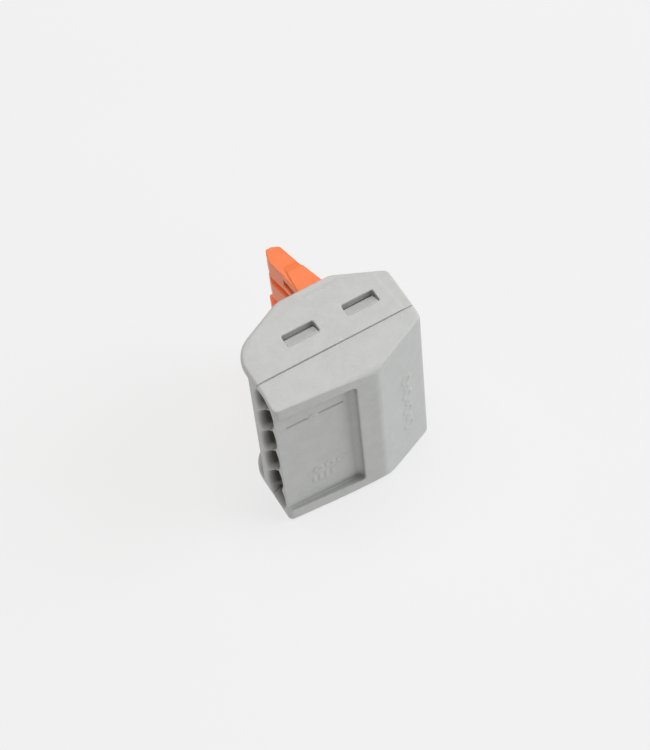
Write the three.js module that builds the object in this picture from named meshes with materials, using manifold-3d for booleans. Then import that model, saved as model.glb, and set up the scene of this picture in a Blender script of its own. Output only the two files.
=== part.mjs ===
// Five-pole lever wire connector: two snap-fit shells, five levers, five cage-clamp springs and a bar.
// Millimetres. The connector stands on one end wall: +X runs from the wire entries to the rear,
// +Y towards the levers, +Z along the row of poles. The rest pose has every lever open.
// The shapes are drawn from the front plane (x = 0) and the seam (y = 0); the group then moves so that
// the origin is on the lower end wall, midway between its two latch windows.
import * as THREE from 'three';
import { mergeVertices } from 'three/addons/utils/BufferGeometryUtils.js';
import Module from 'manifold-3d';

const wasm = await Module();
wasm.setup();

// Overall size
const DEPTH = 20.5;
const ROW = 25;
const TOP = 8.7;
const BOTTOM = -5.25;
const POLES = 5;
const PITCH = 4.5;
const END_WALL = (ROW - POLES * PITCH) / 2;
const SEAM_GAP = 0.08;
const SILL_GAP = 0.03;
const SILL_IN = 0.3;
const OVER = 2;
const LAP = 0.1;

// Outer shell form
const EDGE_ROUND = 0.5;
const FRONT_FOOT = -4.15;
const FOOT_ROUND = 0.65;
const CHAMFER_X = 12.75;
const REAR_FOOT = -1.9;
const FRONT_SHOULDER = 5.11;
const SHOULDER_SLOPE = 0.487;
const REAR_SHOULDER = 5.76;
const TAPER_START = -1;
const END_TAPER = 0.5;
const SHOULDER_X = DEPTH - (TOP - REAR_SHOULDER) / SHOULDER_SLOPE;
const RIM_STEP = 0.08;
const RIM_WIDTH = 1.2;
const RIM_START = 9;
const FIELD_TOP = TOP - 0.9;
const CROWN = 0.12;
const CROWN_SPREAD = 1.6;

// Bottom recess, gauge mark and rear panel
const RECESS_X = 10;
const RECESS_FRONT = -3.68;
const RECESS_FLOOR = -4.05;
const RECESS_FILLET = 0.7;
const RECESS_CORNER = 0.5;
const RECESS_MARGIN = 2.3;
const GAUGE_Z = 19.65;
const GAUGE_WIDTH = 0.3;
const GAUGE_DEEP = 0.18;
const GAUGE_LINES = [[1.2, 4], [5.4, 8.7]];
const PANEL_DEPTH = 0.15;
const PANEL_MARGIN = 6;
const PANEL_LOW = -0.9;
const PANEL_HIGH = 4.2;

// Wire entries
const ENTRY_Y = -1.2;
const MOUTH_HALF_WIDTH = 3;
const MOUTH_HALF_HEIGHT = 2.3;
const MOUTH_POWER = 2.4;
const BORE_R = 1.7;
const FLARE_DEPTH = 1.5;
const LIP_DEPTH = 0.6;
const THROAT_HALF_WIDTH = 2.02;
const THROAT_HALF_HEIGHT = 1.95;
const THROAT_END = 3;
const FRONT_WALL = 4.6;

// Chambers, lever well and bearing webs
const REAR_WALL_X = 19.3;
const CHAMBER_FLOOR = -2.9;
const POCKET_FLOOR = -4;
const WELL_LIP = 1.9;
const DECK_TOP = 4.6;
const DECK_THICK = 0.9;
const DECK_END = 6.6;
const ROOF_X = 14.6;
const ROOF_THICK = 1.22;
const WEB = 0.9;
const EAR_R = 1.8;
const RIB_SPLIT = 13.5;
const RIB_REAR_LOW = -1.6;
const NOTCH_CLEAR = 0.3;

// Levers
const PIVOT = new THREE.Vector2(12.2, 7.1);
const TRUNNION_R = 1;
const BEARING_R = 1.1;
const TRUNNION_HALF = 2.1;
const HUB_R = 2;
const HUB_HALF = 1.6;
const CHEEK_HALF = 1.75;
const BODY_FOOT = 9.3;
const RAMP_LOW = 12.5;
const RAMP_HIGH = 13.5;
const GRIP_HALF = 1.62;
const GRIP_BULGE = 15.2;
const LEVER_TIP = 16.75;
const HOLLOW_HALF = 0.6;
const HOLLOW_TOP = 12.6;
const LOBE_FOOT = 3.9;
const LEAN_DEGREES = [0, 0, 2, 0, 0];

// Latches between the shells
const LATCH_X = [5.57, 13.41];
const LATCH_LENGTH = 4.15;
const LATCH_LOW = 2.5;
const LATCH_HIGH = 4.2;
const LATCH_GAP = 0.05;
const NOSE_LOW_IN = 0.12;
const NOSE_HIGH_IN = 1.05;
const TONGUE_IN = 1.4;
const TONGUE_THICK = 0.45;
const TONGUE_TOP = 4.55;
const TONGUE_FOOT = -1.3;

// Current bar and cage-clamp springs
const BAR_LOW = 0.3;
const BAR_HIGH = 1;
const TONGUE_HALF = 0.8;
const BAR_FRONT = 5.2;
const RAIL_FRONT = 14.5;
const RAIL_BACK = 16.5;
const RAIL_MARGIN = 0.8;
const RAIL_CLEAR = 0.3;
const BEND = new THREE.Vector2(13.2, 2.4);
const BEND_R = 1.1;
const SEAT_LEG = 2.7;
const STRIP = 0.35;
const STRIP_HALF = 1.45;
const CAGE_X = 7.2;
const CAGE_R = 0.8;
const CAGE_LOW = -2.75;
const WINDOW_HALF = 1;
const WINDOW_LOW = -2.3;
const WINDOW_HIGH = 1.4;

const ORIGIN = new THREE.Vector2((LATCH_X[0] + LATCH_X[1] + LATCH_LENGTH) / 2, (LATCH_LOW + LATCH_HIGH) / 2);

const finish = {
  shell: { color: 0xb9b9b6, roughness: 0.62, metalness: 0 },
  base: { color: 0xb4b6b3, roughness: 0.62, metalness: 0 },
  lever: { color: 0xf2682c, roughness: 0.42, metalness: 0 },
  steel: { color: 0xb8bcc2, roughness: 0.3, metalness: 1 },
  tin: { color: 0xc9c6bd, roughness: 0.35, metalness: 1 },
};

const poleCentre = (pole) => END_WALL + PITCH * (pole + 0.5);
const webCentre = (web) => END_WALL + PITCH * web;

// A closed three.js geometry as a manifold solid
function solid(geometry) {
  const bare = geometry.index ? geometry.toNonIndexed() : geometry.clone();
  bare.deleteAttribute('normal');
  bare.deleteAttribute('uv');
  const merged = mergeVertices(bare, 1e-4);
  return new wasm.Manifold(new wasm.Mesh({
    numProp: 3,
    vertProperties: new Float32Array(merged.attributes.position.array),
    triVerts: new Uint32Array(merged.index.array),
  }));
}

function geometryOf(body) {
  const mesh = body.getMesh();
  const geometry = new THREE.BufferGeometry();
  geometry.setAttribute('position', new THREE.BufferAttribute(mesh.vertProperties, 3));
  geometry.setIndex(new THREE.BufferAttribute(mesh.triVerts, 1));
  geometry.computeVertexNormals();
  return geometry;
}

const join = (bodies) => bodies.reduce((whole, body) => whole.add(body));
const cut = (body, tools) => tools.reduce((rest, tool) => rest.subtract(tool), body);

// Outline through corners [x, y, fillet radius]
function outline(corners) {
  const shape = new THREE.Shape();
  corners.forEach(([x, y, radius = 0], index) => {
    const corner = new THREE.Vector2(x, y);
    const before = corners[(index + corners.length - 1) % corners.length];
    const after = corners[(index + 1) % corners.length];
    const back = new THREE.Vector2(before[0], before[1]).sub(corner).normalize();
    const ahead = new THREE.Vector2(after[0], after[1]).sub(corner).normalize();
    const half = Math.acos(THREE.MathUtils.clamp(back.dot(ahead), -1, 1)) / 2;
    const reach = radius / Math.tan(half);
    const start = corner.clone().addScaledVector(back, reach);
    const end = corner.clone().addScaledVector(ahead, reach);
    if (index === 0) shape.moveTo(start.x, start.y);
    else shape.lineTo(start.x, start.y);
    if (radius > 0) {
      const centre = back.clone().add(ahead).normalize().multiplyScalar(radius / Math.sin(half)).add(corner);
      const a0 = Math.atan2(start.y - centre.y, start.x - centre.x);
      const a1 = Math.atan2(end.y - centre.y, end.x - centre.x);
      const turn = Math.atan2(Math.sin(a1 - a0), Math.cos(a1 - a0));
      shape.absarc(centre.x, centre.y, radius, a0, a1, turn < 0);
    }
  });
  shape.closePath();
  return shape;
}

// Prism along +Z with an (x, y) outline
function prism(corners, z0, z1, curveSegments = 4) {
  const geometry = new THREE.ExtrudeGeometry(outline(corners), {
    depth: z1 - z0, bevelEnabled: false, curveSegments,
  });
  geometry.translate(0, 0, z0);
  return solid(geometry);
}

// Prism along +X with a (z, y) outline
function crossPrism(corners, x0, x1, curveSegments = 4) {
  const turned = corners.map(([z, y, radius = 0]) => [-z, y, radius]);
  const geometry = new THREE.ExtrudeGeometry(outline(turned), {
    depth: x1 - x0, bevelEnabled: false, curveSegments,
  });
  geometry.rotateY(Math.PI / 2);
  geometry.translate(x0, 0, 0);
  return solid(geometry);
}

function box(x0, x1, y0, y1, z0, z1) {
  const geometry = new THREE.BoxGeometry(x1 - x0, y1 - y0, z1 - z0);
  geometry.translate((x0 + x1) / 2, (y0 + y1) / 2, (z0 + z1) / 2);
  return solid(geometry);
}

function drum(centre, radius, z0, z1, segments = 24) {
  const geometry = new THREE.CylinderGeometry(radius, radius, z1 - z0, segments);
  geometry.rotateX(Math.PI / 2);
  geometry.translate(centre.x, centre.y, (z0 + z1) / 2);
  return solid(geometry);
}

// Closed body through rings of equal point count, each ring given as an array of Vector3
function loft(rings) {
  const count = rings[0].length;
  const positions = rings.flat().flatMap((point) => point.toArray());
  const index = [];
  for (let ring = 0; ring + 1 < rings.length; ring += 1) {
    for (let i = 0; i < count; i += 1) {
      const j = (i + 1) % count;
      const a = ring * count + i;
      const b = ring * count + j;
      index.push(a, a + count, b, b, a + count, b + count);
    }
  }
  const last = (rings.length - 1) * count;
  for (let i = 1; i + 1 < count; i += 1) {
    index.push(0, i, i + 1);
    index.push(last, last + i + 1, last + i);
  }
  const geometry = new THREE.BufferGeometry();
  geometry.setAttribute('position', new THREE.Float32BufferAttribute(positions, 3));
  geometry.setIndex(index);
  return solid(geometry);
}

// Wire entry: a mouth that flares along the row and has a rounded lip above and below, a steep throat
// and a cone into a round bore; neighbouring mouths meet in a ridge that is set back from the front
function wireEntry(pole) {
  const flareSteps = 6;
  const sides = 32;
  const ring = (x, halfWidth, halfHeight, squareness) => {
    const power = 2 / squareness;
    const points = [];
    for (let i = 0; i < sides; i += 1) {
      const angle = (2 * Math.PI * i) / sides;
      const c = Math.cos(angle);
      const s = Math.sin(angle);
      const z = Math.sign(c) * Math.abs(c) ** power;
      const y = Math.sign(s) * Math.abs(s) ** power;
      points.push(new THREE.Vector3(x, ENTRY_Y + halfHeight * y, poleCentre(pole) + halfWidth * z));
    }
    return points;
  };
  const rings = [ring(-OVER, MOUTH_HALF_WIDTH, MOUTH_HALF_HEIGHT, MOUTH_POWER)];
  for (let step = 0; step <= flareSteps; step += 1) {
    const share = step / flareSteps;
    const x = FLARE_DEPTH * share ** 1.5;
    const lip = Math.max(0, 1 - x / LIP_DEPTH);
    rings.push(ring(
      x,
      THREE.MathUtils.lerp(MOUTH_HALF_WIDTH, THROAT_HALF_WIDTH, x / FLARE_DEPTH),
      THREE.MathUtils.lerp(THROAT_HALF_HEIGHT, MOUTH_HALF_HEIGHT, 1 - Math.sqrt(1 - lip ** 2)),
      MOUTH_POWER,
    ));
  }
  rings.push(ring(THROAT_END, THROAT_HALF_WIDTH, THROAT_HALF_HEIGHT, MOUTH_POWER));
  rings.push(ring(FRONT_WALL - LAP, BORE_R, BORE_R, 2));
  rings.push(ring(FRONT_WALL + LAP, BORE_R, BORE_R, 2));
  return loft(rings);
}

// Flat field of both end faces, which falls away very slightly towards the front and top edges
function endCrown() {
  const field = [
    [1, BOTTOM - OVER],
    [1, 3.6],
    [3, 6.2],
    [6.8, FIELD_TOP],
    [DEPTH, FIELD_TOP],
    [DEPTH, BOTTOM - OVER],
  ];
  const geometry = new THREE.ExtrudeGeometry(outline(field), {
    depth: ROW - 2 * CROWN,
    bevelEnabled: true,
    bevelThickness: CROWN,
    bevelSize: CROWN_SPREAD,
    bevelSegments: 1,
  });
  geometry.translate(0, 0, CROWN);
  return solid(geometry);
}

// The whole closed case, with its rounded rim, tapered lower ends and stepped end faces
function caseBlock() {
  const corners = [
    [0, FRONT_FOOT, FOOT_ROUND],
    [CHAMFER_X, BOTTOM, 1.6],
    [DEPTH - 0.1, REAR_FOOT, 0.8],
    [DEPTH, 0],
    [DEPTH, REAR_SHOULDER, 0.9],
    [SHOULDER_X, TOP, 2.5],
    [(TOP - FRONT_SHOULDER) / SHOULDER_SLOPE, TOP, 3],
    [0, FRONT_SHOULDER, 4],
  ];
  const geometry = new THREE.ExtrudeGeometry(outline(corners), {
    depth: ROW - 2 * EDGE_ROUND,
    bevelEnabled: true,
    bevelThickness: EDGE_ROUND,
    bevelSize: EDGE_ROUND,
    bevelOffset: -EDGE_ROUND,
    bevelSegments: 3,
    curveSegments: 6,
  });
  geometry.translate(0, 0, EDGE_ROUND);
  const ends = crossPrism([
    [0, TOP + OVER],
    [0, TAPER_START, 6],
    [END_TAPER, BOTTOM, 1.1],
    [ROW - END_TAPER, BOTTOM, 1.1],
    [ROW, TAPER_START, 6],
    [ROW, TOP + OVER],
  ], -OVER, DEPTH + OVER);
  const rim = [
    [RIM_START, TOP + OVER],
    [RIM_START, TOP],
    [RIM_START + RIM_WIDTH, TOP - RIM_WIDTH],
    [SHOULDER_X + 0.4, TOP - RIM_WIDTH],
    [18.7, REAR_SHOULDER],
    [DEPTH - RIM_WIDTH, 0],
    [DEPTH + OVER, 0],
    [DEPTH + OVER, TOP + OVER],
  ];
  return cut(solid(geometry).intersect(ends).intersect(endCrown()), [
    prism(rim, ROW - RIM_STEP, ROW + OVER),
    prism(rim, -OVER, RIM_STEP),
    box(DEPTH - PANEL_DEPTH, DEPTH + OVER, PANEL_LOW, PANEL_HIGH, PANEL_MARGIN, ROW - PANEL_MARGIN),
  ]);
}

function bearingWeb(web) {
  const z0 = webCentre(web) - WEB / 2;
  const z1 = webCentre(web) + WEB / 2;
  const ear = drum(PIVOT, EAR_R, z0, z1);
  if (web === 0 || web === POLES) return ear;
  const plate = prism([
    [9.8, 0.1],
    [REAR_WALL_X + LAP, 0.1],
    [REAR_WALL_X + LAP, 5.3],
    [14.8, 7.7],
    [PIVOT.x + EAR_R * 0.8, PIVOT.y + 0.6],
    [PIVOT.x - EAR_R * 0.9, PIVOT.y - 0.4],
    [10.5, 5.3],
    [9.8, 4.6],
  ], z0, z1);
  return plate.add(ear);
}

function upperHousing(block, entries) {
  const inner0 = END_WALL;
  const inner1 = ROW - END_WALL;
  const shell = block.intersect(box(-OVER, DEPTH + OVER, 0, TOP + OVER, -OVER, ROW + OVER));
  const well = prism([
    [-OVER, WELL_LIP],
    [0, WELL_LIP, 0.6],
    [1.4, DECK_TOP, 0.5],
    [ROOF_X, DECK_TOP],
    [ROOF_X, TOP + OVER],
    [-OVER, TOP + OVER],
  ], inner0, inner1);
  const roofInner = (x) => TOP - ROOF_THICK - (x - SHOULDER_X) * SHOULDER_SLOPE;
  const chamber = prism([
    [FRONT_WALL, -OVER],
    [REAR_WALL_X, -OVER],
    [REAR_WALL_X, roofInner(REAR_WALL_X), 0.4],
    [ROOF_X, roofInner(ROOF_X)],
    [ROOF_X, DECK_TOP + 0.5],
    [DECK_END, DECK_TOP + 0.5],
    [DECK_END, DECK_TOP - DECK_THICK],
    [FRONT_WALL, DECK_TOP - DECK_THICK],
  ], inner0, inner1);
  const webs = [];
  for (let web = 0; web <= POLES; web += 1) webs.push(bearingWeb(web));
  const bearings = drum(PIVOT, BEARING_R, inner0, inner1);
  const slot = box(PIVOT.x - BEARING_R, PIVOT.x + BEARING_R, -OVER, PIVOT.y, inner0, inner1);
  const railNotch = box(
    RAIL_FRONT - RAIL_CLEAR, RAIL_BACK + RAIL_CLEAR, -OVER, BAR_HIGH + RAIL_CLEAR, inner0, inner1,
  );
  const notchDepth = TONGUE_IN + TONGUE_THICK + NOTCH_CLEAR;
  const deckNotches = [[inner0, notchDepth], [ROW - notchDepth, inner1]].map(([z0, z1]) => box(
    LATCH_X[0] - NOTCH_CLEAR, DECK_END + NOTCH_CLEAR, DECK_TOP - DECK_THICK - LAP, DECK_TOP + LAP, z0, z1,
  ));
  const windows = LATCH_X.flatMap((x) => [
    box(x, x + LATCH_LENGTH, LATCH_LOW, LATCH_HIGH, -OVER, inner0 + LAP),
    box(x, x + LATCH_LENGTH, LATCH_LOW, LATCH_HIGH, inner1 - LAP, ROW + OVER),
  ]);
  const hollowed = cut(shell, [well, chamber]);
  return cut(join([hollowed, ...webs]), [bearings, slot, railNotch, ...deckNotches, ...windows, ...entries]);
}

// One latch tongue with its nose; low is true on the end wall at z = 0
function latchTongue(x, low) {
  const z = (value) => (low ? value : ROW - value);
  const x0 = x + LATCH_GAP;
  const x1 = x + LATCH_LENGTH - LATCH_GAP;
  const slab = (y0, y1, from, to) => (
    box(x0, x1, y0, y1, Math.min(z(from), z(to)), Math.max(z(from), z(to)))
  );
  const tongue = slab(TONGUE_FOOT, TONGUE_TOP, TONGUE_IN, TONGUE_IN + TONGUE_THICK);
  const root = slab(TONGUE_FOOT, -SEAM_GAP - 3 * LAP, END_WALL - LAP, TONGUE_IN + LAP);
  const profile = [
    [z(NOSE_LOW_IN), LATCH_LOW + LATCH_GAP],
    [z(TONGUE_IN + LAP), LATCH_LOW + LATCH_GAP],
    [z(TONGUE_IN + LAP), LATCH_HIGH - LATCH_GAP],
    [z(NOSE_HIGH_IN), LATCH_HIGH - LATCH_GAP],
  ];
  return join([tongue, root, crossPrism(low ? profile : profile.reverse(), x0, x1)]);
}

const recessFloor = (x) => THREE.MathUtils.lerp(RECESS_FRONT, RECESS_FLOOR, x / RECESS_X);

// Bottom recess: a floor that deepens to the front, a filleted rear wall and rounded rear corners
function recessTool() {
  const side = prism([
    [-OVER, BOTTOM - OVER],
    [RECESS_X, BOTTOM - OVER],
    [RECESS_X, recessFloor(RECESS_X), RECESS_FILLET],
    [-OVER, recessFloor(-OVER)],
  ], 0, ROW, 6);
  const plan = outline([
    [-OVER, -RECESS_MARGIN],
    [-OVER, RECESS_MARGIN - ROW],
    [RECESS_X, RECESS_MARGIN - ROW, RECESS_CORNER],
    [RECESS_X, -RECESS_MARGIN, RECESS_CORNER],
  ]);
  const block = new THREE.ExtrudeGeometry(plan, { depth: ROW, bevelEnabled: false, curveSegments: 4 });
  block.rotateX(-Math.PI / 2);
  block.translate(0, -ROW / 2, 0);
  return side.intersect(solid(block));
}

// Engraved wire-strip gauge on the recess floor: a line with a gap in its middle
function gaugeGrooves() {
  return GAUGE_LINES.map(([x0, x1]) => prism([
    [x0, BOTTOM],
    [x1, BOTTOM],
    [x1, recessFloor(x1) + GAUGE_DEEP],
    [x0, recessFloor(x0) + GAUGE_DEEP],
  ], GAUGE_Z - GAUGE_WIDTH / 2, GAUGE_Z + GAUGE_WIDTH / 2));
}

function lowerHousing(block, entries) {
  const inner0 = END_WALL;
  const inner1 = ROW - END_WALL;
  const shell = block.intersect(box(-OVER, DEPTH + OVER, BOTTOM - OVER, -SEAM_GAP, -OVER, ROW + OVER));
  const chamber = prism([
    [FRONT_WALL, OVER],
    [FRONT_WALL, CHAMBER_FLOOR],
    [10.8, CHAMBER_FLOOR],
    [11.4, POCKET_FLOOR],
    [13.2, POCKET_FLOOR, 0.5],
    [REAR_WALL_X, -1.35, 0.4],
    [REAR_WALL_X, OVER],
  ], inner0, inner1);
  const ribs = [];
  for (let web = 1; web < POLES; web += 1) {
    const z0 = webCentre(web) - WEB / 2;
    const z1 = webCentre(web) + WEB / 2;
    ribs.push(box(FRONT_WALL - LAP, RIB_SPLIT + LAP, CHAMBER_FLOOR - 0.5, -SEAM_GAP - LAP, z0, z1));
    ribs.push(box(RIB_SPLIT, REAR_WALL_X + LAP, RIB_REAR_LOW, 0, z0, z1));
    ribs.push(prism([
      [11, -4.5],
      [14.2, -4.2],
      [REAR_WALL_X + LAP, -1.8],
      [REAR_WALL_X + LAP, -1],
      [11, -1],
    ], z0, z1));
  }
  const latches = LATCH_X.flatMap((x) => [latchTongue(x, true), latchTongue(x, false)]);
  const sill = block.intersect(
    box(-OVER, FRONT_WALL, -SEAM_GAP - LAP, -SILL_GAP, SILL_IN, ROW - SILL_IN),
  );
  const hollowed = cut(shell, [chamber, recessTool()]);
  return cut(join([hollowed, sill, ...ribs, ...latches]), [...entries, ...gaugeGrooves()]);
}

// A lever in its open position, centred on z = 0: a grip blade with a thumb bulge, wider cheeks on its
// lower half, a hub with trunnions, and a lobe below the pivot that lifts the spring
function leverBody() {
  const hub = drum(PIVOT, HUB_R, -HUB_HALF, HUB_HALF, 32);
  const trunnions = drum(PIVOT, TRUNNION_R, -TRUNNION_HALF, TRUNNION_HALF);
  const neck = prism([
    [PIVOT.x - HUB_R, PIVOT.y],
    [PIVOT.x + HUB_R, PIVOT.y],
    [14.15, 8.6],
    [13.85, BODY_FOOT + 0.5],
    [10.65, BODY_FOOT + 0.5],
    [10.4, 8.4],
  ], -HUB_HALF, HUB_HALF);
  const grip = prism([
    [10.65, BODY_FOOT, 0.2],
    [13.95, BODY_FOOT, 0.2],
    [13.1, RAMP_LOW - 0.15, 0.2],
    [12.9, RAMP_LOW + 0.25, 0.2],
    [12.1, 16.3, 0.5],
    [11.2, LEVER_TIP, 0.4],
    [10.42, LEVER_TIP, 0.2],
    [9.93, GRIP_BULGE, 0.5],
    [10.4, RAMP_LOW, 0.8],
  ], -GRIP_HALF, GRIP_HALF);
  const cheekSide = prism([
    [10.72, BODY_FOOT, 0.2],
    [13.95, BODY_FOOT, 0.2],
    [13.1, RAMP_LOW - 0.15, 0.2],
    [12.9, RAMP_LOW + 0.25, 0.2],
    [12.6, RAMP_HIGH],
    [11, RAMP_HIGH],
    [10.95, RAMP_LOW],
  ], -CHEEK_HALF, CHEEK_HALF);
  const cheekWidth = crossPrism([
    [-CHEEK_HALF, BODY_FOOT - OVER],
    [CHEEK_HALF, BODY_FOOT - OVER],
    [CHEEK_HALF, RAMP_LOW, 0.6],
    [GRIP_HALF, RAMP_HIGH - 0.05],
    [-GRIP_HALF, RAMP_HIGH - 0.05],
    [-CHEEK_HALF, RAMP_LOW, 0.6],
  ], 0, DEPTH);
  const cheeks = cheekSide.intersect(cheekWidth);
  const lobe = prism([
    [10.9, 6],
    [11.1, LOBE_FOOT, 0.35],
    [11.9, LOBE_FOOT, 0.35],
    [12.6, 5.6],
    [12.6, 6],
  ], -HUB_HALF, HUB_HALF);
  const hollow = prism([
    [9, HOLLOW_TOP],
    [9, BODY_FOOT - 0.2],
    [12.1, BODY_FOOT - 0.2, 0.4],
    [12.3, 12, 0.5],
    [11.4, HOLLOW_TOP, 0.3],
  ], -HOLLOW_HALF, HOLLOW_HALF);
  return join([hub, trunnions, neck, grip, cheeks, lobe]).subtract(hollow);
}

// Centre line of a spring strip: short seat leg, rear bend, upper arm, front corner, cage leg
function springLine() {
  const path = new THREE.Path();
  path.moveTo(BEND.x - SEAT_LEG, BEND.y - BEND_R);
  path.lineTo(BEND.x, BEND.y - BEND_R);
  path.absarc(BEND.x, BEND.y, BEND_R, -Math.PI / 2, Math.PI / 2, false);
  path.lineTo(CAGE_X + CAGE_R, BEND.y + BEND_R);
  path.absarc(CAGE_X + CAGE_R, BEND.y + BEND_R - CAGE_R, CAGE_R, Math.PI / 2, Math.PI, false);
  path.lineTo(CAGE_X, CAGE_LOW);
  const points = path.getPoints(6);
  return points.filter((point, index) => index === 0 || point.distanceTo(points[index - 1]) > 1e-3);
}

function springBody() {
  const line = springLine();
  const offset = (side) => line.map((point, index) => {
    const ahead = line[Math.min(index + 1, line.length - 1)];
    const back = line[Math.max(index - 1, 0)];
    const along = ahead.clone().sub(back).normalize();
    return [point.x - along.y * side, point.y + along.x * side];
  });
  const strip = [...offset(-STRIP / 2), ...offset(STRIP / 2).reverse()];
  const window = box(CAGE_X - 1, CAGE_X + 1, WINDOW_LOW, WINDOW_HIGH, -WINDOW_HALF, WINDOW_HALF);
  return prism(strip, -STRIP_HALF, STRIP_HALF).subtract(window);
}

function currentBar() {
  const end = END_WALL + RAIL_MARGIN;
  const rail = box(RAIL_FRONT, RAIL_BACK, BAR_LOW, BAR_HIGH, end, ROW - end);
  const tongues = [];
  for (let pole = 0; pole < POLES; pole += 1) {
    const z = poleCentre(pole);
    tongues.push(box(BAR_FRONT, RAIL_FRONT + LAP, BAR_LOW, BAR_HIGH, z - TONGUE_HALF, z + TONGUE_HALF));
  }
  return join([rail, ...tongues]);
}

const group = new THREE.Group();
group.position.set(-ORIGIN.x, -ORIGIN.y, 0);

// A named piece in its finish, set along the row and turned about the lever pivot
function place(name, geometry, look, z = 0, degrees = 0) {
  const turn = new THREE.Group();
  turn.position.set(PIVOT.x, PIVOT.y, z);
  turn.rotation.z = THREE.MathUtils.degToRad(degrees);
  const mesh = new THREE.Mesh(geometry, new THREE.MeshStandardMaterial(finish[look]));
  mesh.name = name;
  mesh.position.set(-PIVOT.x, -PIVOT.y, 0);
  turn.add(mesh);
  group.add(turn);
}

const block = caseBlock();
const entries = [];
for (let pole = 0; pole < POLES; pole += 1) entries.push(wireEntry(pole));

place('upper_housing', geometryOf(upperHousing(block, entries)), 'shell');
place('lower_housing', geometryOf(lowerHousing(block, entries)), 'base');
place('current_bar', geometryOf(currentBar()), 'tin');

const lever = geometryOf(leverBody());
const spring = geometryOf(springBody());
for (let pole = 0; pole < POLES; pole += 1) {
  place(`lever_${pole + 1}`, lever, 'lever', poleCentre(pole), LEAN_DEGREES[pole]);
  place(`clamp_spring_${pole + 1}`, spring, 'steel', poleCentre(pole));
}

export default group;
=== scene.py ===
"""Five-pole lever wire connector on a pale floor: moulded grey shells, orange levers, steel clamps.

Everything is in metres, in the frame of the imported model: +X to the rear, +Y to the levers, +Z along
the row of poles. The connector stands on its lower end wall.
"""
import math

import bpy
from mathutils import Matrix, Vector


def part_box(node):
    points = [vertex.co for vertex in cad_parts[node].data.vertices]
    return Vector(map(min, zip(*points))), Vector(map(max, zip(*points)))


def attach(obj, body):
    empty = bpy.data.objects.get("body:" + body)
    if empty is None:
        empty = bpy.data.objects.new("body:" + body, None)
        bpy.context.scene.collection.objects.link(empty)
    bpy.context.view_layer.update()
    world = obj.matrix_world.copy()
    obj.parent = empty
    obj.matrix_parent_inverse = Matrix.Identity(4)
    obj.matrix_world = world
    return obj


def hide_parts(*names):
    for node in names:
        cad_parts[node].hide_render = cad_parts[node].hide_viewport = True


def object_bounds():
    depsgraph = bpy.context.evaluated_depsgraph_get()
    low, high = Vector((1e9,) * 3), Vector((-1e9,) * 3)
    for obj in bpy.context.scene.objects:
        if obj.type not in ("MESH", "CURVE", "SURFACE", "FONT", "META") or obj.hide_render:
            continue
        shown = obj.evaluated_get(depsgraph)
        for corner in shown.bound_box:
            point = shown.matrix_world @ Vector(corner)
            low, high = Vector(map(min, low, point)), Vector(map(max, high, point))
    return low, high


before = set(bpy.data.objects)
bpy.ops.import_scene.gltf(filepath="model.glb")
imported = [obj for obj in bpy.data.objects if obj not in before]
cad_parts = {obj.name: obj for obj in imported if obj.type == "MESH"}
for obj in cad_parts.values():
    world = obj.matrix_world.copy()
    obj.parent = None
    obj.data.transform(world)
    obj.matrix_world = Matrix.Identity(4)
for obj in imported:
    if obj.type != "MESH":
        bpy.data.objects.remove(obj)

cad_low, cad_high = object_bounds()

MM = 0.001
POLES = 5

# Camera: a long lens, looking down on the end wall and the bottom of the case
LENS = 149.5
SENSOR = 36.0
CLIP_NEAR = 0.01
CLIP_FAR = 10
LOOK_AT = Vector((-4.33, -6.34, 25.05)) * MM
DISTANCE = 301.3 * MM
AZIMUTH = math.radians(-24.03)
ELEVATION = math.radians(57.43)
ROLL = math.radians(-6.95)

# Stage: a wide floor that glows a little, a faint white sky and square lights
FLOOR_HALF = 1.2
FLOOR_GLOW = 0.69
FLOOR_PATCH = 60 * MM
SKY_STRENGTH = 0.22
LIGHT_DISTANCE = 0.8
LIGHT_SIZE = 0.6

# Recess in the bottom of the lower shell: its floor lies RECESS_DEEP above the bottom at the rear end
# and RECESS_RISE more at the front
RECESS_LONG = 10.0 * MM
RECESS_DEEP = 1.17 * MM
RECESS_RISE = 0.37 * MM

# Rear chamfer of the lower shell
CHAMFER_LONG = 7.75 * MM
CHAMFER_HIGH = 3.35 * MM

# Wire entries: pitch, height of their axis above the bottom, and the half height and depth of the part
# painted dark as shade
ENTRY_PITCH = 4.5 * MM
ENTRY_RISE = 4.02 * MM
ENTRY_HALF = 2.35 * MM
ENTRY_DEEP = 4.6 * MM

# Where that painted shade fades: behind the front, before the far end, inside the half height, at each side
# of a ridge between two entries, where the ridges stop counting near an end wall, and at the end wall
FADE_FRONT = 1.1 * MM
FADE_BACK = 0.3 * MM
FADE_HEIGHT = 0.2 * MM
FADE_RIDGE = (0.1 * MM, 0.9 * MM)
FADE_LAST_RIDGE = (2.2 * MM, 1.6 * MM)
FADE_END_WALL = (0.75 * MM, 0.5 * MM)

# Noise stays near one half: the spans of it that become 0 to 1
NOISE_SPAN = (0.3, 0.7)
BLOTCH_SPAN = (0.38, 0.62)

# Moulded plastic: sizes of its blotches, speckles, eroded-mould grain and slow waves
BLOTCH_SIZE = 1.5 * MM
SPECKLE_SIZE = 0.28 * MM
GRAIN_SIZE = 0.11 * MM
GRAIN_HEIGHT = 0.012 * MM
WAVE_SIZE = 1.8 * MM
WAVE_HEIGHT = 0.02 * MM
WAVE_STRENGTH = 0.2
PLASTIC_IOR = 1.5
PLASTIC_UNEVEN = (-0.05, 0.06)

# Moulded plastic: share of the light colour in speckles and on rubbed edges, the pointiness from a flat
# stretch to a rubbed edge, and the reach, span and depth of the shade painted into holes, corners and wire
# entries
SPECKLE_SHARE = 0.5
RUBBED_SHARE = 0.35
EDGE_SPAN = (0.505, 0.56)
PAINTED_SHADE_REACH = 2.5 * MM
PAINTED_SHADE_SPAN = (0.4, 0.95)
PAINTED_HOLLOW_SHADE = 0.5
ENTRY_SHADE_SHARE = 0.9

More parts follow.
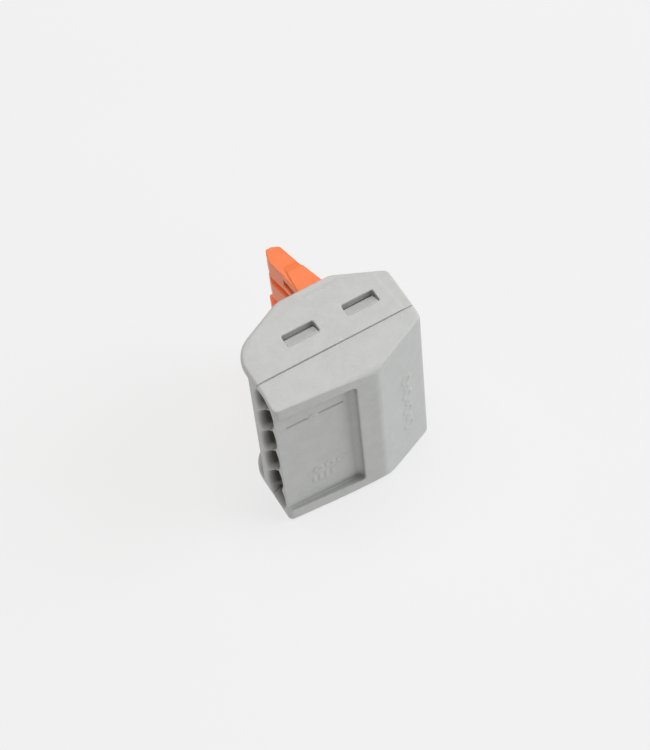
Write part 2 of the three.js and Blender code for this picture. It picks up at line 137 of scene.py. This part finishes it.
# Metal: sizes of its dull spots and fine grain, how dark the spots are and how the roughness varies
SPOT_SIZE = 1.2 * MM
SPOT_SHADE = 0.72
METAL_GRAIN_SIZE = 0.12 * MM
METAL_GRAIN_HEIGHT = 0.004 * MM
METAL_GRAIN_STRENGTH = 0.3
METAL_UNEVEN = (-0.08, 0.1)

# Fine meshes: grid size in millimetres, smoothing steps and share of the faces kept
SHELL_MESH = (0.1, 4, 0.1)
BAR_MESH = (0.1, 1, 0.1)
LEVER_MESH = (0.07, 3, 0.12)
SPRING_MESH = (0.08, 1, 0.12)
WELD_REACH_MM = 1e-4
SMOOTHING = 0.5

# Raised marks
MARK_LINE = 0.3 * MM
MARK_PROUD = 0.1 * MM
RING_SIDES = 18
SMALL_RING = 0.5 * MM
MIDDLE_RING = 0.62 * MM
LARGE_RING = 0.85 * MM
TICK_LONG = 1.2 * MM
BAR_LONG = 3.4 * MM

# Their places in the recess, in millimetres from the front and from the lower end. A row is a count, a
# first place and a step, and stands at a height of its own
GAUGE_RING_PLACE = (4.7, 19.65)
RING_ROW = (3, 4.6, 1.5)
RING_ROW_HEIGHT = 8.1
TICK_ROW = (4, 3.9, 0.8)
TICK_ROW_HEIGHT = 6.2
BAR_PLACE = (3.4, 4.6)

# The rings on the chamfer: a column upwards, in millimetres too, and its distance up the slope
RING_COLUMN = (7, 6.6, 1.6)
COLUMN_UP = 4.75 * MM


# ---------------------------------------------------------------- shader helpers

class Nodes:
    """A material's node tree with short calls to add and link nodes."""

    def __init__(self, name):
        self.material = bpy.data.materials.new(name)
        self.material.use_nodes = True
        self.tree = self.material.node_tree
        self.shader = self.tree.nodes["Principled BSDF"]
        self.place = self.add("ShaderNodeTexCoord").outputs["Object"]

    def add(self, kind, **settings):
        node = self.tree.nodes.new(kind)
        for key, value in settings.items():
            setattr(node, key, value)
        return node

    def link(self, source, target):
        self.tree.links.new(source, target)

    def set(self, socket, value):
        """A constant on one of the shader's own sockets."""
        self.shader.inputs[socket].default_value = value

    def noise(self, size, detail=2.0, rough=0.5):
        """Noise whose blobs are about size metres across."""
        node = self.add("ShaderNodeTexNoise")
        self.link(self.place, node.inputs["Vector"])
        node.inputs["Scale"].default_value = 1.0 / size
        node.inputs["Detail"].default_value = detail
        node.inputs["Roughness"].default_value = rough
        return node.outputs["Fac"]

    def spread(self, source, low, high, to_low=0.0, to_high=1.0):
        """The source mapped from low..high to to_low..to_high, and held there beyond both ends."""
        node = self.add("ShaderNodeMapRange")
        self.link(source, node.inputs["Value"])
        ends = {"From Min": low, "From Max": high, "To Min": to_low, "To Max": to_high}
        for key, value in ends.items():
            node.inputs[key].default_value = value
        return node.outputs["Result"]

    def vary(self, source, value, changes):
        """The value changed by the first change where the source is 0, by the second where it is 1."""
        least, most = changes
        return self.spread(source, 0.0, 1.0, value + least, value + most)

    def mix(self, factor, first, second):
        """The first colour where factor is 0, the second where it is 1."""
        node = self.add("ShaderNodeMix", data_type="RGBA")
        self.link(factor, node.inputs[0])
        for slot, value in ((6, first), (7, second)):
            if isinstance(value, tuple):
                node.inputs[slot].default_value = (*value, 1.0)
            else:
                self.link(value, node.inputs[slot])
        return node.outputs[2]

    def bump(self, height, strength, distance, below=None):
        node = self.add("ShaderNodeBump")
        self.link(height, node.inputs["Height"])
        node.inputs["Strength"].default_value = strength
        node.inputs["Distance"].default_value = distance
        if below is not None:
            self.link(below, node.inputs["Normal"])
        return node.outputs["Normal"]

    def axes(self):
        """The three coordinates of a point of the piece, in metres."""
        node = self.add("ShaderNodeSeparateXYZ")
        self.link(self.place, node.inputs["Vector"])
        return node.outputs["X"], node.outputs["Y"], node.outputs["Z"]

    def math(self, operation, first, second=0.0):
        node = self.add("ShaderNodeMath", operation=operation)
        for slot, value in enumerate((first, second)):
            if isinstance(value, float):
                node.inputs[slot].default_value = value
            else:
                self.link(value, node.inputs[slot])
        return node.outputs["Value"]

    def painted_hollow_shade(self, reach):
        """Ambient occlusion for painted shade: 1 on open stretches, towards 0 in holes and corners narrower
        than reach.
        """
        node = self.add("ShaderNodeAmbientOcclusion", samples=8, only_local=True)
        node.inputs["Distance"].default_value = reach
        return node.outputs["AO"]

    def edges(self, most):
        """0 on flat stretches, rising to most on outer edges."""
        curve = self.add("ShaderNodeNewGeometry").outputs["Pointiness"]
        return self.spread(curve, *EDGE_SPAN, 0.0, most)


def linear(red, green, blue):
    """An sRGB colour, 0 to 255, as the linear values that shaders take."""
    def channel(value):
        share = value / 255
        return share / 12.92 if share <= 0.04045 else ((share + 0.055) / 1.055) ** 2.4
    return channel(red), channel(green), channel(blue)


def entry_shade_mask(n):
    """Where shade is painted: 0 outside, rising to 1 inside the wire entries, away from the ridges between
    them.
    """
    x, y, z = n.axes()
    front, back = cad_low.x, cad_low.x + ENTRY_DEEP
    near = n.spread(x, front, front + FADE_FRONT)
    far = n.spread(x, back - FADE_BACK, back, 1.0, 0.0)

    off_axis = n.math("ABSOLUTE", n.math("SUBTRACT", y, cad_low.y + ENTRY_RISE))
    tall = n.spread(off_axis, ENTRY_HALF - FADE_HEIGHT, ENTRY_HALF, 1.0, 0.0)

    half_row = (cad_high.z - cad_low.z) / 2
    middle = cad_low.z + half_row
    off_middle = n.math("ABSOLUTE", n.math("SUBTRACT", z, middle))
    first_ridge = middle - POLES * ENTRY_PITCH / 2
    off_ridge = n.math("PINGPONG", n.math("SUBTRACT", z, first_ridge), ENTRY_PITCH / 2)
    at_end = n.spread(off_middle, *(half_row - inset for inset in FADE_LAST_RIDGE))
    clear = n.math("MAXIMUM", n.spread(off_ridge, *FADE_RIDGE), at_end)
    row = n.spread(off_middle, *(half_row - inset for inset in FADE_END_WALL), 1.0, 0.0)

    whole = n.math("MULTIPLY", n.math("MULTIPLY", near, far), n.math("MULTIPLY", tall, clear))
    return n.math("MULTIPLY", whole, row)


# ---------------------------------------------------------------- materials

# Dark colour painted into the wire entries as shade
ENTRY_PAINTED_SHADE = linear(70, 62, 58)


def moulded_plastic(name, colour, light, dark, roughness, grain, shine, entries=False):
    """Matt moulded plastic: eroded-mould grain, faint blotches, paler rubbed edges; with entries, painted
    shade in holes, corners and wire entries.
    """
    n = Nodes(name)
    blotches = n.spread(n.noise(BLOTCH_SIZE, detail=4.0, rough=0.6), *BLOTCH_SPAN)
    speckles = n.spread(n.noise(SPECKLE_SIZE), *NOISE_SPAN)
    base = n.mix(blotches, dark, colour)
    base = n.mix(n.math("MULTIPLY", speckles, SPECKLE_SHARE), base, light)
    base = n.mix(n.edges(RUBBED_SHARE), base, light)
    if entries:
        # Painted shade: the colour darkens in holes and corners of the piece, then turns to a dark colour
        # inside the wire entries
        hollow_shade_colour = tuple(PAINTED_HOLLOW_SHADE * c for c in dark)
        base = n.mix(n.spread(n.painted_hollow_shade(PAINTED_SHADE_REACH), *PAINTED_SHADE_SPAN), hollow_shade_colour, base)
        # Painted shade: the wire entries' walls turn towards the dark colour
        base = n.mix(n.math("MULTIPLY", entry_shade_mask(n), ENTRY_SHADE_SHARE), base, ENTRY_PAINTED_SHADE)
    n.link(base, n.shader.inputs["Base Color"])
    n.link(n.vary(speckles, roughness, PLASTIC_UNEVEN), n.shader.inputs["Roughness"])
    n.set("IOR", PLASTIC_IOR)
    n.set("Specular IOR Level", shine)
    waves = n.bump(n.noise(WAVE_SIZE, detail=1.0), WAVE_STRENGTH, WAVE_HEIGHT)
    rough = n.bump(n.noise(GRAIN_SIZE, rough=0.6), grain, GRAIN_HEIGHT, waves)
    n.link(rough, n.shader.inputs["Normal"])
    return n.material


def metal(name, colour, roughness):
    """Bare or plated strip with dull spots."""
    n = Nodes(name)
    spots = n.spread(n.noise(SPOT_SIZE, detail=3.0), *NOISE_SPAN)
    dull = tuple(SPOT_SHADE * c for c in colour)
    n.link(n.mix(spots, dull, colour), n.shader.inputs["Base Color"])
    n.set("Metallic", 1.0)
    n.link(n.vary(spots, roughness, METAL_UNEVEN), n.shader.inputs["Roughness"])
    rough = n.bump(n.noise(METAL_GRAIN_SIZE), METAL_GRAIN_STRENGTH, METAL_GRAIN_HEIGHT)
    n.link(rough, n.shader.inputs["Normal"])
    return n.material


def floor_paint():
    """Nearly white paint with very broad, faint unevenness."""
    n = Nodes("floor_white")
    uneven = n.spread(n.noise(FLOOR_PATCH), *NOISE_SPAN)
    n.link(n.mix(uneven, linear(121, 121, 122), linear(124, 124, 124)), n.shader.inputs["Base Color"])
    n.set("Roughness", 0.9)
    n.set("Specular IOR Level", 0.1)
    n.set("Emission Color", (1.0, 1.0, 1.0, 1.0))
    n.set("Emission Strength", FLOOR_GLOW)
    return n.material


UPPER = moulded_plastic("grey_polyamide_upper", linear(199, 199, 198), linear(205, 204, 203),
                        linear(193, 193, 192), roughness=0.6, grain=0.4, shine=0.4, entries=True)
LOWER = moulded_plastic("grey_polyamide_lower", linear(197, 198, 196), linear(203, 204, 202),
                        linear(191, 192, 190), roughness=0.6, grain=0.4, shine=0.4, entries=True)
LEVER = moulded_plastic("orange_polyamide", linear(253, 128, 64), linear(255, 136, 74),
                        linear(252, 121, 56), roughness=0.42, grain=0.25, shine=0.8)
STEEL = metal("spring_steel", linear(196, 198, 200), roughness=0.32)
TIN = metal("tinned_copper", linear(214, 210, 198), roughness=0.38)


# ---------------------------------------------------------------- raised marks

def bar_mark(centre, along, out, length):
    """Corners and faces of a straight bar that stands out of a face and is sunk as deep into it."""
    across = out.cross(along)
    corners = [centre + along * (i * length / 2) + across * (j * MARK_LINE / 2) + out * (k * MARK_PROUD)
               for k in (-1, 1) for i, j in ((-1, -1), (1, -1), (1, 1), (-1, 1))]
    faces = [(3, 2, 1, 0), (4, 5, 6, 7), (0, 1, 5, 4), (1, 2, 6, 5), (2, 3, 7, 6), (3, 0, 4, 7)]
    return corners, faces


def ring_mark(centre, along, out, radius):
    """Corners and faces of a flat ring that stands out of a face and is sunk as deep into it."""
    across = out.cross(along)
    profile = ((radius, -1), (radius, 1), (radius - MARK_LINE, 1), (radius - MARK_LINE, -1))
    corners = []
    for reach, level in profile:
        for step in range(RING_SIDES):
            angle = 2 * math.pi * step / RING_SIDES
            arm = along * math.cos(angle) + across * math.sin(angle)
            corners.append(centre + arm * reach + out * (level * MARK_PROUD))
    faces = []
    for loop in range(len(profile)):
        for step in range(RING_SIDES):
            here, there = loop * RING_SIDES, (loop + 1) % len(profile) * RING_SIDES
            after = (step + 1) % RING_SIDES
            faces.append((here + step, here + after, there + after, there + step))
    return corners, faces


def evenly(count, first, step):
    """Evenly spaced places."""
    return [first + step * place for place in range(count)]


def relief_marks():
    """Plain marks where a maker's would be: rings and bars in the recess and rings up the chamfer."""
    low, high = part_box("lower_housing")
    upright = Vector((0, 0, 1))
    along = Vector((RECESS_LONG, -RECESS_RISE, 0)).normalized()
    out = Vector((along.y, -along.x, 0))

    def in_recess(x, z):
        """A point of the recess floor, x and z in millimetres from the front and the lower end."""
        rise = RECESS_DEEP + RECESS_RISE * (1 - x * MM / RECESS_LONG)
        return Vector((low.x + x * MM, low.y + rise, low.z + z * MM))

    marks = [ring_mark(in_recess(*GAUGE_RING_PLACE), along, out, SMALL_RING)]
    for x in evenly(*RING_ROW):
        marks.append(ring_mark(in_recess(x, RING_ROW_HEIGHT), along, out, MIDDLE_RING))
    for x in evenly(*TICK_ROW):
        marks.append(bar_mark(in_recess(x, TICK_ROW_HEIGHT), upright, out, TICK_LONG))
    marks.append(bar_mark(in_recess(*BAR_PLACE), along, out, BAR_LONG))

    slope = Vector((CHAMFER_LONG, CHAMFER_HIGH, 0)).normalized()
    out = Vector((slope.y, -slope.x, 0))
    foot = Vector((high.x - CHAMFER_LONG, low.y, low.z))
    for place, z in enumerate(evenly(*RING_COLUMN)):
        centre = foot + slope * COLUMN_UP + upright * (z * MM)
        marks.append(ring_mark(centre, slope, out, SMALL_RING if place % 2 else LARGE_RING))
    return marks


def with_marks(mesh, marks):
    """The mesh in millimetres with the marks added to it."""
    points = [vertex.co / MM for vertex in mesh.vertices]
    faces = [tuple(face.vertices) for face in mesh.polygons]
    for corners, sides in marks:
        start = len(points)
        points.extend(corner / MM for corner in corners)
        faces.extend(tuple(start + corner for corner in side) for side in sides)
    joined = bpy.data.meshes.new(mesh.name + "_joined")
    joined.from_pydata(points, [], faces)
    return joined


# ---------------------------------------------------------------- fine meshes

def moulded_piece(name, body, material, fineness, marks=()):
    """A fine mesh of a CAD node, its sharp edges broken as a mould or a press leaves them."""
    voxel, rounds, keep = fineness
    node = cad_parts[name]
    rough = bpy.data.objects.new(name + "_rough", with_marks(node.data, marks))
    bpy.context.scene.collection.objects.link(rough)
    weld = rough.modifiers.new("weld", "WELD")
    weld.merge_threshold = WELD_REACH_MM
    grid = rough.modifiers.new("grid", "REMESH")
    grid.mode = "VOXEL"
    grid.voxel_size = voxel
    soften = rough.modifiers.new("soften", "SMOOTH")
    soften.factor = SMOOTHING
    soften.iterations = rounds
    thin = rough.modifiers.new("thin", "DECIMATE")
    thin.ratio = keep
    mesh = bpy.data.meshes.new_from_object(rough.evaluated_get(bpy.context.evaluated_depsgraph_get()))
    bpy.data.objects.remove(rough)
    mesh.transform(Matrix.Scale(MM, 4))
    mesh.name = name + "_fine"
    mesh.materials.clear()
    mesh.materials.append(material)
    mesh.shade_smooth()
    piece = bpy.data.objects.new(name + "_fine", mesh)
    bpy.context.scene.collection.objects.link(piece)
    piece.modifiers.new("even_shading", "WEIGHTED_NORMAL")
    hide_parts(name)
    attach(piece, body)


moulded_piece("upper_housing", "root", UPPER, SHELL_MESH)
moulded_piece("lower_housing", "root", LOWER, SHELL_MESH, relief_marks())
moulded_piece("current_bar", "root", TIN, BAR_MESH)
for pole in range(1, POLES + 1):
    moulded_piece(f"lever_{pole}", f"lever_{pole}", LEVER, LEVER_MESH)
    moulded_piece(f"clamp_spring_{pole}", f"clamp_{pole}", STEEL, SPRING_MESH)


# ---------------------------------------------------------------- stage, lights and camera

def make_floor():
    """A square floor at the foot of the connector."""
    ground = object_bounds()[0].z
    signs = ((-1, -1), (1, -1), (1, 1), (-1, 1))
    corners = [(FLOOR_HALF * i, FLOOR_HALF * j, ground) for i, j in signs]
    mesh = bpy.data.meshes.new("floor")
    mesh.from_pydata(corners, [], [(0, 1, 2, 3)])
    mesh.materials.append(floor_paint())
    floor = bpy.data.objects.new("floor", mesh)
    bpy.context.scene.collection.objects.link(floor)


def make_light(name, direction, power, colour):
    """A square soft light that stands in a direction from the connector's middle and faces it."""
    data = bpy.data.lights.new(name, "AREA")
    data.shape = "SQUARE"
    data.size = LIGHT_SIZE
    data.energy = power
    data.color = colour
    lamp = bpy.data.objects.new(name, data)
    bpy.context.scene.collection.objects.link(lamp)
    toward = Vector(direction).normalized()
    lamp.location = toward * LIGHT_DISTANCE + Vector((0, 0, (cad_low.z + cad_high.z) / 2))
    lamp.rotation_euler = (-toward).to_track_quat("-Z", "Y").to_euler()


def make_world():
    """An even white sky."""
    world = bpy.data.worlds.new("studio")
    bpy.context.scene.world = world
    world.use_nodes = True
    background = world.node_tree.nodes["Background"]
    background.inputs["Color"].default_value = (1, 1, 1, 1)
    background.inputs["Strength"].default_value = SKY_STRENGTH


def make_camera():
    """The photograph's camera, solved from the straight lines of the case."""
    data = bpy.data.cameras.new("camera")
    data.lens = LENS
    data.sensor_width = SENSOR
    data.sensor_fit = "HORIZONTAL"
    data.clip_start = CLIP_NEAR
    data.clip_end = CLIP_FAR
    camera = bpy.data.objects.new("camera", data)
    bpy.context.scene.collection.objects.link(camera)
    level = math.cos(ELEVATION)
    back = Vector((math.sin(AZIMUTH) * level, -math.cos(AZIMUTH) * level, math.sin(ELEVATION)))
    upright = (-back).to_track_quat("-Z", "Y").to_matrix()
    turn = upright @ Matrix.Rotation(ROLL, 3, "Z")
    camera.matrix_world = Matrix.Translation(LOOK_AT + back * DISTANCE) @ turn.to_4x4()
    bpy.context.scene.camera = camera


make_floor()
make_world()
make_light("key", (0.0, 0.1, 1.0), 4.0, (1.0, 0.99, 0.96))
make_light("side", (0.75, -0.3, 0.5), 3.6, (0.95, 0.975, 1.0))
make_camera()
bpy.context.scene.view_settings.view_transform = "Standard"
